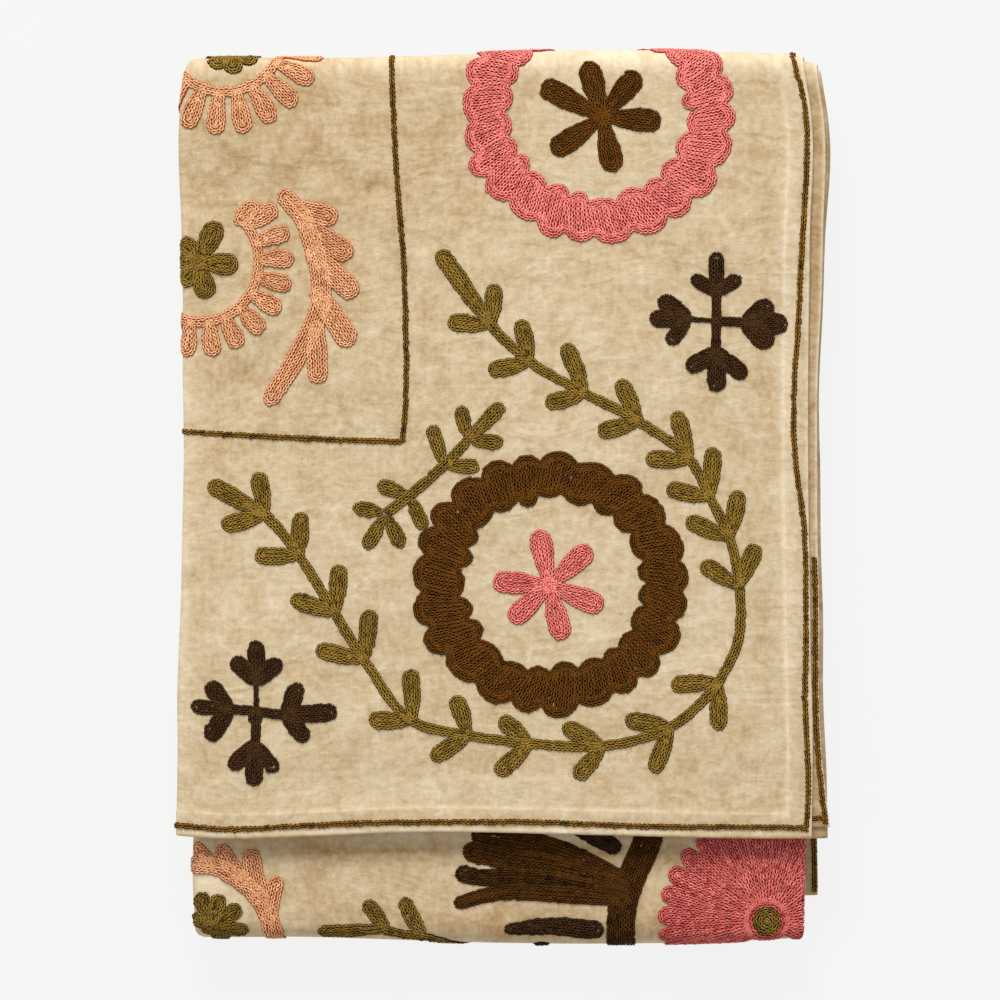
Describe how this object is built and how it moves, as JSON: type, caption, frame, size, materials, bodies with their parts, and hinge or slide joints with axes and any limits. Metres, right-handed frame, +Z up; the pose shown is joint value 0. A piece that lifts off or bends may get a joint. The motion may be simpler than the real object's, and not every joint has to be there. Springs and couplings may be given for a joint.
{
  "type": "embroidered throw",
  "caption": "Velvet throw with chain-stitch flower, wreath and leaf embroidery, folded into a flat rectangular packet.",
  "frame": {"origin": "centre of the packet's underside", "axes": "+Z up out of the packet, +Y along its length away from the stepped near edge, +X to the right"},
  "size_m": [0.3496, 0.478, 0.0366],
  "materials": {
    "beige_velvet": "matt cotton velvet, short crushed pile",
    "olive_thread": "matt embroidery yarn",
    "brown_thread": "matt embroidery yarn",
    "dark_thread": "matt embroidery yarn",
    "pink_thread": "soft embroidery yarn",
    "salmon_thread": "soft embroidery yarn"
  },
  "bodies": {
    "root": {"throw_cloth": "beige_velvet"}
  },
  "joints": []
}
